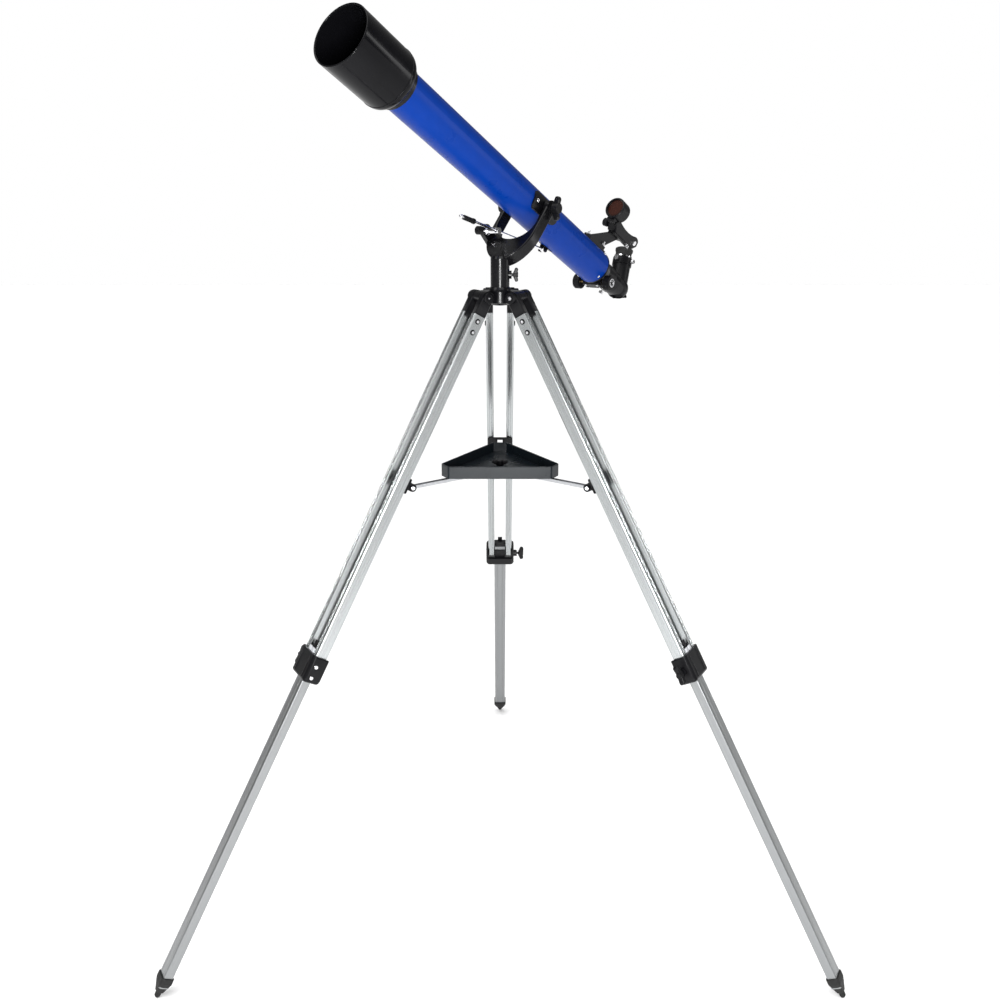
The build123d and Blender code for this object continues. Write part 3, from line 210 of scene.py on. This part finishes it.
# %% Paints and plastics
blue_enamel = finish("blue_enamel", (0.0001, 0.022, 0.175), (0.0001, 0.028, 0.225), GRAIN, 0.26, 0.34, 0.004,
                     scale=500.0, Specular_IOR_Level=0.09)
black_enamel = finish("black_enamel", (0.002, 0.002, 0.0025), (0.004, 0.004, 0.005), GRAIN, 0.18, 0.28, 0.05,
                      scale=1400.0, Specular_IOR_Level=0.22)
black_plastic = finish("black_plastic", (0.002, 0.002, 0.0025), (0.004, 0.004, 0.005), GRAIN, 0.28, 0.42, 0.18,
                       scale=1800.0, Specular_IOR_Level=0.17)
gloss_black = finish("gloss_black_plastic", (0.002, 0.002, 0.0025), (0.004, 0.004, 0.005), GRAIN,
                     0.10, 0.16, 0.01, scale=700.0, Specular_IOR_Level=0.12)
tray_plastic = finish("tray_plastic", (0.004, 0.006, 0.008), (0.007, 0.010, 0.013), GRAIN, 0.24, 0.38, 0.15,
                      scale=1500.0, Specular_IOR_Level=0.22)
rubber = finish("black_rubber", (0.006, 0.006, 0.006), (0.013, 0.013, 0.013), GRAIN, 0.55, 0.75, 0.35,
                scale=1300.0, Specular_IOR_Level=0.3)
baffle_black = finish("baffle_black", (0.002, 0.002, 0.002), (0.005, 0.005, 0.005), GRAIN, 0.8, 0.95, 0.3,
                      scale=2200.0, Specular_IOR_Level=0.2)
guide_grey = finish("guide_grey", (0.42, 0.43, 0.45), (0.55, 0.56, 0.58), GRAIN, 0.4, 0.55, 0.15, scale=1600.0)

# %% Metals
LONG = (260.0, 260.0, 2.0)
ROUND = (60.0, 60.0, 900.0)
rail_metal = {
    leg: finish(leg + "_rail_aluminium", (0.36, 0.375, 0.38), (0.52, 0.54, 0.545), STREAKS, 0.20, 0.34, 0.35,
                stretch=LONG, along=LEG_UP[leg], Metallic=1.0)
    for leg in LEGS}
lower_metal = {
    leg: finish(leg + "_lower_aluminium", (0.24, 0.245, 0.25), (0.33, 0.34, 0.345), STREAKS, 0.26, 0.40, 0.35,
                stretch=LONG, along=LEG_UP[leg], Metallic=1.0)
    for leg in LEGS}
chrome = finish("chrome", (0.70, 0.70, 0.72), (0.88, 0.88, 0.90), STREAKS, 0.05, 0.14, 0.05,
                stretch=ROUND, along=TUBE_AIM, Metallic=1.0)
zinc_steel = finish("zinc_steel", (0.45, 0.46, 0.48), (0.68, 0.69, 0.71), STREAKS, 0.24, 0.40, 0.3,
                    stretch=(120.0, 120.0, 120.0), Metallic=1.0)
brass = finish("brass", (0.52, 0.36, 0.14), (0.74, 0.54, 0.24), STREAKS, 0.18, 0.30, 0.2,
               stretch=ROUND, along=TUBE_SIDE, Metallic=1.0)
print("materials so far", len(bpy.data.materials))


# %% [markdown]
# Glass keeps plain numbers on its own sockets. The lens has the faint blue-green bloom of a coated doublet, the
# finder's window is amber-grey because it reflects red light back to the eye, and the mirror is bare aluminium.

# %% Glass and mirror
def clear_glass(name, tint, roughness, transmission):
    material = bpy.data.materials.new(name)
    material.use_nodes = True
    shader = material.node_tree.nodes["Principled BSDF"]
    shader.inputs["Base Color"].default_value = (*tint, 1.0)
    shader.inputs["Roughness"].default_value = roughness
    shader.inputs["Transmission Weight"].default_value = transmission
    shader.inputs["IOR"].default_value = 1.5
    shader.inputs["Coat Weight"].default_value = 0.6
    shader.inputs["Coat Tint"].default_value = (0.55, 0.85, 0.75, 1.0)
    return material


lens_glass = clear_glass("lens_glass", (0.86, 0.95, 0.96), 0.02, 1.0)
window_glass = clear_glass("finder_window_glass", (0.06, 0.014, 0.010), 0.05, 0.25)
mirror_glass = finish("mirror_glass", (0.90, 0.91, 0.92), (0.94, 0.95, 0.96), GRAIN, 0.01, 0.03, 0.0,
                      Metallic=1.0)
print("materials", len(bpy.data.materials))


# %% [markdown]
# ## Dressing the CAD pieces
# A CAD piece whose shape is right stays, and only its material slots change. Its mesh is never touched.

# %% Put a finish on every node
def dress(material, *names):
    for name in names:
        node = nodes[name]
        if not node.material_slots:
            node.data.materials.append(material)
        for slot in node.material_slots:
            slot.material = material


dress(blue_enamel, "main_tube")
dress(black_enamel, "tripod_hub", "fork", "tube_brackets", "objective_cell")
dress(black_plastic, "azimuth_lock", "spreader_plate", "tray_screw", "near_altitude_lock", "far_altitude_lock",
      "rod_lock_nut", "rod_sleeve", "focuser_body", "diagonal_body", "focus_knobs", "finder_bracket",
      "finder_body", "finder_knob")
dress(gloss_black, "dew_shield", "drawtube")
dress(tray_plastic, "accessory_tray")
dress(rubber, "eyecup")
dress(baffle_black, "tube_baffles")
dress(chrome, "rod_eye_bolt", "altitude_rod", "tube_screws", "drawtube_screws", "diagonal_screws",
      "eyepiece_barrel", "finder_screws")
dress(brass, "focus_pinion")
dress(lens_glass, "objective_lens", "eye_lens")
dress(window_glass, "finder_window")
dress(mirror_glass, "diagonal_mirror")
for leg in LEGS:
    dress(rail_metal[leg], leg + "_leg_rails")
    dress(lower_metal[leg], leg + "_lower_leg")
    dress(black_plastic, leg + "_leg_brackets", leg + "_leg_collar", leg + "_leg_lock")
    dress(chrome, leg + "_leg_fasteners")
    dress(rubber, leg + "_foot")
    dress(zinc_steel, leg + "_strut")
print("dressed", len(nodes), "nodes")


# %% [markdown]
# ## Small parts, made with bmesh
# A leg's small parts are easiest to make standing upright, with the hinge pin at the origin. One matrix then
# puts them on the leg: its X points outward across the leg, its Y along the hinge pin and its Z up the leg.

# %% A space for each leg
MM = 0.001


def leg_space(leg):
    up = LEG_UP[leg]
    radial = LEG_HINGE[leg] - AXIS
    radial.z = 0.0
    outward = (radial - up * radial.dot(up)).normalized()
    turn = Matrix((outward, up.cross(outward), up)).transposed().to_4x4()
    return Matrix.Translation(LEG_HINGE[leg]) @ turn


LEG_SPACE = {leg: leg_space(leg) for leg in LEGS}
ONTO_SIDE = Matrix.Rotation(-pi / 2, 4, "X")    # turns a shape's Z axis onto the hinge pin
print("left leg's space", [round(v, 3) for v in LEG_SPACE["left"].translation])


# %% Helpers that turn a bmesh into a piece
def piece(name, bm, material, body, place=Matrix()):
    bmesh.ops.transform(bm, matrix=place, verts=bm.verts)
    bmesh.ops.recalc_face_normals(bm, faces=bm.faces)
    mesh = bpy.data.meshes.new(name)
    bm.to_mesh(mesh)
    bm.free()
    mesh.materials.append(material)
    made = bpy.data.objects.new(name, mesh)
    bpy.context.scene.collection.objects.link(made)
    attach(made, body)
    return made


def rounded_block(bm, low, high, radius, segments=3):
    """A bevelled box between two corners, in millimetres."""
    low, high = Vector(low) * MM, Vector(high) * MM
    grow = Matrix.Translation((low + high) / 2) @ Matrix.Diagonal((*(high - low), 1.0))
    corners = bmesh.ops.create_cube(bm, size=1.0, matrix=grow)["verts"]
    edges = list({edge for corner in corners for edge in corner.link_edges})
    bmesh.ops.bevel(bm, geom=edges, offset=radius * MM, offset_type="OFFSET", segments=segments, profile=0.5,
                    affect="EDGES", material=-1)


def spun(bm, outline, place=Matrix(), steps=48):
    """A closed outline of (radius, height) points in millimetres, turned about Z."""
    corners = [bm.verts.new((radius * MM, 0.0, height * MM)) for radius, height in outline]
    edges = [bm.edges.new((corners[i], corners[(i + 1) % len(corners)])) for i in range(len(corners))]
    bmesh.ops.spin(bm, geom=corners + edges, cent=(0, 0, 0), axis=(0, 0, 1), angle=2 * pi, steps=steps,
                   use_merge=True)
    found = set(corners)
    front = list(found)
    while front:
        front = [edge.other_vert(vert) for vert in front for edge in vert.link_edges
                 if edge.other_vert(vert) not in found]
        found.update(front)
    bmesh.ops.transform(bm, matrix=place, verts=list(found))


def smooth(made, angle=35.0):
    made.data.shade_smooth()
    made.data.set_sharp_from_angle(angle=radians(angle))
    return made


# %% [markdown]
# The lower leg ends just above its collar, closed by a black moulded plug that steadies it between the rails.
# Two pale nylon pads beside it take up the play. All are blocks with bevelled edges, made upright and placed by
# the leg's matrix, because that is quicker than turning each of them.

# %% End plugs and guide pads
COLLAR_DROP = 657.0     # middle of the collar below the hinge pin, in millimetres
COLLAR_HALF = 23.0
BAR_TOP = 29.0 - COLLAR_DROP

for leg in LEGS:
    bm = bmesh.new()
    rounded_block(bm, (-7.6, -11.0, BAR_TOP - 4.0), (7.6, 11.0, BAR_TOP + 5.0), 1.2)
    rounded_block(bm, (5.6, -4.5, BAR_TOP + 2.0), (8.6, 4.5, BAR_TOP + 13.0), 0.9)
    smooth(piece(leg + "_end_plug", bm, black_plastic, leg + "_lower_leg", LEG_SPACE[leg]))

    bm = bmesh.new()
    for side in (-1, 1):
        rounded_block(bm, (8.9, side * 6.0 - 4.4, COLLAR_HALF - COLLAR_DROP - 8.0),
                      (11.4, side * 6.0 + 4.4, COLLAR_HALF - COLLAR_DROP + 7.0), 0.7)
    smooth(piece(leg + "_guide_pads", bm, guide_grey, leg + "_leg", LEG_SPACE[leg]))

# %% [markdown]
# From outside, the space between a leg's rails is open right up to the moulded top bracket. The bracket's plugs
# are hidden in the rails, so the piece that shows is a merged copy of the CAD bracket, cut by a plane that
# takes its long plugs off. The hole that the plane leaves is filled, so the piece stays closed.

# %% Top brackets without their plugs
BRACKET_CUT = -36.0     # just under the rails' upper ends, below the hinge pin
HALF_WAY = -150.0       # between the top bracket and the strut's bracket, which share one node

for leg in LEGS:
    bm = bmesh.new()
    bm.from_mesh(nodes[leg + "_leg_brackets"].data)
    bmesh.ops.remove_doubles(bm, verts=bm.verts, dist=1e-6)
    to_leg = LEG_SPACE[leg].inverted()
    upper = [vert for vert in bm.verts if (to_leg @ vert.co).z > HALF_WAY * MM]
    upper_edges = {edge for vert in upper for edge in vert.link_edges}
    upper_faces = {face for vert in upper for face in vert.link_faces}
    cut = LEG_SPACE[leg] @ Vector((0.0, 0.0, BRACKET_CUT * MM))
    bmesh.ops.bisect_plane(bm, geom=upper + list(upper_edges) + list(upper_faces), plane_co=cut,
                           plane_no=LEG_UP[leg], clear_inner=True)
    rims = [edge for edge in bm.edges if edge.is_boundary]
    bmesh.ops.triangle_fill(bm, use_beauty=True, edges=rims)
    brackets = piece(leg + "_brackets", bm, black_plastic, leg + "_leg")
    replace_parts(smooth(brackets), leg + "_leg_brackets")

# %% [markdown]
# The collar's two cheeks are thick moulded walls with rounded corners, and two raised ribs run down its outer
# face. Bevelled blocks give both, and the bevel's width sets how soft the moulding looks.

# %% Collar cheeks and ribs
RAIL_OUTSIDE = 24.05    # rail's outer face from the leg's middle
CHEEK_WALL = 4.7

for leg in LEGS:
    bm = bmesh.new()
    for side in (-1, 1):
        faces = sorted((side * (RAIL_OUTSIDE + 0.06), side * (RAIL_OUTSIDE + CHEEK_WALL)))
        rounded_block(bm, (-13.6, faces[0], -COLLAR_DROP - 17.5), (12.6, faces[1], -COLLAR_DROP + 21.5), 1.8, 4)
    for y in (-15.0, 15.0):
        rounded_block(bm, (14.6, y - 1.3, -COLLAR_DROP - 18.0), (16.0, y + 1.3, -COLLAR_DROP + 19.0), 0.5)
    smooth(piece(leg + "_collar_cheeks", bm, black_plastic, leg + "_leg", LEG_SPACE[leg]))

# %% [markdown]
# Each rail is screwed to the moulded bracket inside it through two sunk holes. A raised black ring round each
# bright screw head is painted shade for the shadow inside the sunk hole. The hinge bolts wear black caps, so only
# their middles shine.

# %% Painted shade rings round the rail screws, and hinge caps
RAIL_TOP = 31.0
PRONG_FACE = 23.75

for leg in LEGS:
    # black rings round the rail screws: painted shade for the shadow in their sunk holes
    bm = bmesh.new()
    for side in (-1, 1):
        for drop in (10.0, 29.0):
            seat = Matrix.Translation((0.0, side * RAIL_OUTSIDE * MM, -(RAIL_TOP + drop) * MM))
            turn = ONTO_SIDE if side > 0 else Matrix.Rotation(pi / 2, 4, "X")
            spun(bm, [(2.6, 0.0), (4.6, 0.0), (4.4, 0.5), (3.5, 1.8), (2.6, 1.8)], seat @ turn, 32)
    smooth(piece(leg + "_screw_painted_shade_rims", bm, black_enamel, leg + "_leg", LEG_SPACE[leg]))
    bm = bmesh.new()
    for side, height, hole in ((1, 4.4, 1.5), (-1, 7.2, 1.5)):
        turn = ONTO_SIDE if side > 0 else Matrix.Rotation(pi / 2, 4, "X")
        seat = Matrix.Translation((0.0, side * PRONG_FACE * MM, 0.0))
        spun(bm, [(6.4, 0.05), (9.2, 0.05), (9.2, height - 1.6), (8.6, height - 0.5), (7.4, height),
                  (4.0, height), (3.4, height - 0.7), (hole, height - 0.7), (hole, height - 0.95),
                  (6.4, height - 0.95)], seat @ turn, 48)
    smooth(piece(leg + "_hinge_caps", bm, black_plastic, leg + "_leg", LEG_SPACE[leg]))

# %% [markdown]
# The tray has a thin raised lip along its wall. The lip starts from the wall's own top faces, copied from the
# CAD mesh, and an extrude lifts them a little, so it follows the tray all the way round.

# %% Tray lip
TRAY_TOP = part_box("accessory_tray")[1][2]
LIP_RISE = 0.0007
bm = bmesh.new()
bm.from_mesh(nodes["accessory_tray"].data)
bmesh.ops.remove_doubles(bm, verts=bm.verts, dist=1e-6)
spare = [face for face in bm.faces
         if face.normal.z < 0.9 or min(vert.co.z for vert in face.verts) < TRAY_TOP - 0.0002]
bmesh.ops.delete(bm, geom=spare, context="FACES")
lip = bmesh.ops.extrude_face_region(bm, geom=bm.faces[:])
risen = [item for item in lip["geom"] if isinstance(item, bmesh.types.BMVert)]
bmesh.ops.translate(bm, vec=(0.0, 0.0, LIP_RISE), verts=risen)
tray_lip = piece("tray_lip", bm, tray_plastic, "tray")
print("tray lip faces", len(tray_lip.data.polygons))

# %% [markdown]
# The tube's fittings get their details in a space of their own, with the altitude pin at the origin and Z along
# the tube. The dew shield's mouth has a rounded bead, and another one marks where it steps down to the tube.

# %% A space for the tube, and the dew shield's beads
TUBE_UP = TUBE_SIDE.cross(TUBE_AIM).normalized()
if TUBE_UP.z < 0:
    TUBE_UP = -TUBE_UP
TUBE_TURN = Matrix((TUBE_AIM.cross(TUBE_UP), -TUBE_UP, TUBE_AIM)).transposed().to_4x4()
TUBE_SPACE = Matrix.Translation(ALTITUDE_PIN) @ TUBE_TURN


def bead(radius, height, thick, count=12):
    return [(radius + thick * cos(2 * pi * i / count), height + thick * sin(2 * pi * i / count))
            for i in range(count)]


SHIELD_FRONT = 480.0
bm = bmesh.new()
spun(bm, bead(43.9, SHIELD_FRONT - 0.4, 1.2), steps=128)
spun(bm, bead(45.0, 384.0, 0.55), steps=128)
shield_beads = piece("shield_beads", bm, gloss_black, "dew_shield", TUBE_SPACE)
print("bead faces", len(smooth(shield_beads, 60.0).data.polygons))

# %% [markdown]
# Each focus knob carries a bright ring with short spokes pressed into its outer face.

# %% Focus knob inlays
KNOB_FACE = 38.4
SPOKES = 8
PINION_PLACE = Vector(joints["focus_turn"]["pos_m"])
bm = bmesh.new()
for side in (-1, 1):
    face = Matrix.Translation(PINION_PLACE + TUBE_SIDE * side * (KNOB_FACE - 0.1) * MM)
    turn = (TUBE_SIDE * side).to_track_quat("Z", "Y").to_matrix().to_4x4()
    spun(bm, [(6.2, 0.0), (8.0, 0.0), (7.8, 0.7), (6.4, 0.7)], face @ turn, 48)
    for spoke in range(SPOKES):
        spin = Matrix.Rotation(2 * pi * spoke / SPOKES, 4, "Z")
        before = set(bm.verts)
        rounded_block(bm, (3.4, -0.45, 0.0), (6.4, 0.45, 0.55), 0.15, 1)
        bmesh.ops.transform(bm, matrix=face @ turn @ spin, verts=[v for v in bm.verts if v not in before])
knob_inlays = smooth(piece("knob_inlays", bm, chrome, "pinion"))
print("knob inlay faces", len(knob_inlays.data.polygons))

# %% [markdown]
# The diagonal's mirror is held by a black moulded cover that closes the elbow's slanted back. The cover is the
# mirror's own outline, a little larger, moved out along the mirror's normal and thick enough to hide its edge.

# %% Cover on the diagonal's back
EYE_WAY = Vector(joints["eyepiece_pull"]["axis"]).normalized()
MIRROR_BACK = -(EYE_WAY + TUBE_AIM).normalized()
mirror_low, mirror_high = (Vector(corner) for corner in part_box("diagonal_mirror"))
MIRROR_MIDDLE = (mirror_low + mirror_high) / 2
COVER_GROWTH = 1.07
COVER_OUT = 1.4
bm = bmesh.new()
bm.from_mesh(nodes["diagonal_mirror"].data)
bmesh.ops.remove_doubles(bm, verts=bm.verts, dist=1e-6)
bmesh.ops.scale(bm, vec=(COVER_GROWTH,) * 3, space=Matrix.Translation(-MIRROR_MIDDLE), verts=bm.verts)
bmesh.ops.translate(bm, vec=MIRROR_BACK * COVER_OUT * MM, verts=bm.verts)
diagonal_cover = smooth(piece("diagonal_cover", bm, black_plastic, "diagonal"))
print("diagonal cover faces", len(diagonal_cover.data.polygons))

# %% [markdown]
# ## The studio
# The telescope stands on a pale floor, as in a catalogue. The floor is one flat grid with a dull white paint, and
# it is far wider than the tripod, so its edge stays out of sight.

# %% Floor
FLOOR_SIZE = 24.0
bm = bmesh.new()
bmesh.ops.create_grid(bm, x_segments=2, y_segments=2, size=FLOOR_SIZE / 2)
floor_mesh = bpy.data.meshes.new("floor")
bm.to_mesh(floor_mesh)
bm.free()
floor = bpy.data.objects.new("floor", floor_mesh)
bpy.context.scene.collection.objects.link(floor)
floor_paint = bpy.data.materials.new("floor_paint")
floor_paint.use_nodes = True
floor_shader = floor_paint.node_tree.nodes["Principled BSDF"]
floor_shader.inputs["Base Color"].default_value = (0.92, 0.92, 0.92, 1.0)
floor_shader.inputs["Roughness"].default_value = 0.9
floor_mesh.materials.append(floor_paint)
print("floor", FLOOR_SIZE, "m across")

# %% [markdown]
# The surroundings are white behind the telescope, but dimmer where they light it and show in its metal. They are
# brightest on the camera's side, where a broad screen stands, and darker to the sides, so the rails show their
# edges. A ramp along the world's Y axis gives that change with one short list of tones.

# %% Surroundings
world = bpy.data.worlds.new("studio")
world.use_nodes = True
sky = world.node_tree
sky_path = sky.nodes.new("ShaderNodeLightPath")
sky_place = sky.nodes.new("ShaderNodeTexCoord")
sky_parts = sky.nodes.new("ShaderNodeSeparateXYZ")
sky_range = sky.nodes.new("ShaderNodeMapRange")
sky_range.inputs["From Min"].default_value = -1.0
sky_ramp = sky.nodes.new("ShaderNodeValToRGB")
sky_mix = sky.nodes.new("ShaderNodeMix")
sky_mix.data_type = "RGBA"
sky_mix.inputs["B"].default_value = (1.0, 1.0, 1.0, 1.0)
SKY_TONES = ((0.0, 0.42), (0.12, 0.34), (0.30, 0.14), (0.62, 0.12), (1.0, 0.26))
while len(sky_ramp.color_ramp.elements) < len(SKY_TONES):
    sky_ramp.color_ramp.elements.new(0.5)
for element, (position, tone) in zip(sky_ramp.color_ramp.elements, SKY_TONES):
    element.position = position
    element.color = (tone, tone, tone, 1.0)
link(sky, sky_place.outputs["Generated"], sky_parts.inputs["Vector"])
link(sky, sky_parts.outputs["Y"], sky_range.inputs["Value"])
link(sky, sky_range.outputs["Result"], sky_ramp.inputs["Fac"])
link(sky, sky_path.outputs["Is Camera Ray"], sky_mix.inputs["Factor"])
link(sky, sky_ramp.outputs["Color"], sky_mix.inputs["A"])
link(sky, sky_mix.outputs["Result"], sky.nodes["Background"].inputs["Color"])
bpy.context.scene.world = world
bpy.context.scene.view_settings.view_transform = "Standard"
print("sky tones", SKY_TONES)

# %% [markdown]
# The lamps are broad, so the plastic's highlights stay soft. Two tall ones stand to the sides, a narrow one by
# the camera draws the post's strip, and a wide sun from above keeps the floor as bright as the background.


# %% Soft lamps
def softbox(name, place, target, width, height, power):
    lamp = bpy.data.lights.new(name, "AREA")
    lamp.shape = "RECTANGLE"
    lamp.size = width
    lamp.size_y = height
    lamp.energy = power
    holder = bpy.data.objects.new(name, lamp)
    bpy.context.scene.collection.objects.link(holder)
    aim = Vector(target) - Vector(place)
    holder.matrix_world = Matrix.Translation(place) @ aim.to_track_quat("-Z", "Y").to_matrix().to_4x4()
    return holder


HEAD = AXIS + Vector((0.0, 0.0, 0.05))
softbox("key", AXIS + Vector((-2.4, -1.2, 1.6)), HEAD, 0.4, 2.0, 14.0)
softbox("edge", AXIS + Vector((2.6, 0.2, 0.6)), HEAD, 0.3, 2.4, 12.0)
softbox("post_strip", (AXIS.x + 0.02, AXIS.y - 1.75, 0.92), (AXIS.x, AXIS.y, 1.1), 0.20, 0.7, 40.0)
sun = bpy.data.lights.new("overhead", "SUN")
sun.energy = 3.1
sun.angle = radians(70.0)
sun_holder = bpy.data.objects.new("overhead", sun)
bpy.context.scene.collection.objects.link(sun_holder)
sun_holder.rotation_euler = (radians(12.0), radians(-8.0), 0.0)
print("lamps", [lamp.name for lamp in bpy.data.lights])

# %% [markdown]
# The camera stands a little below the height of the tube and looks slightly down, with a normal lens.

# %% Camera
LENS_MM = 37.404
SENSOR_MM = 36.0
TILT_DOWN = 16.74
CAMERA_BACK = 1.716
CAMERA_HEIGHT = 1.276
CAMERA_SHIFT = -0.0045
camera_data = bpy.data.cameras.new("camera")
camera_data.sensor_width = SENSOR_MM
camera_data.lens = LENS_MM
camera_data.shift_y = CAMERA_SHIFT
camera_data.clip_end = 100.0
camera = bpy.data.objects.new("camera", camera_data)
bpy.context.scene.collection.objects.link(camera)
camera.location = (AXIS.x, AXIS.y - CAMERA_BACK, CAMERA_HEIGHT)
camera.rotation_euler = (radians(90.0 - TILT_DOWN), 0.0, 0.0)
bpy.context.scene.camera = camera
print("camera", [round(value, 3) for value in camera.location])
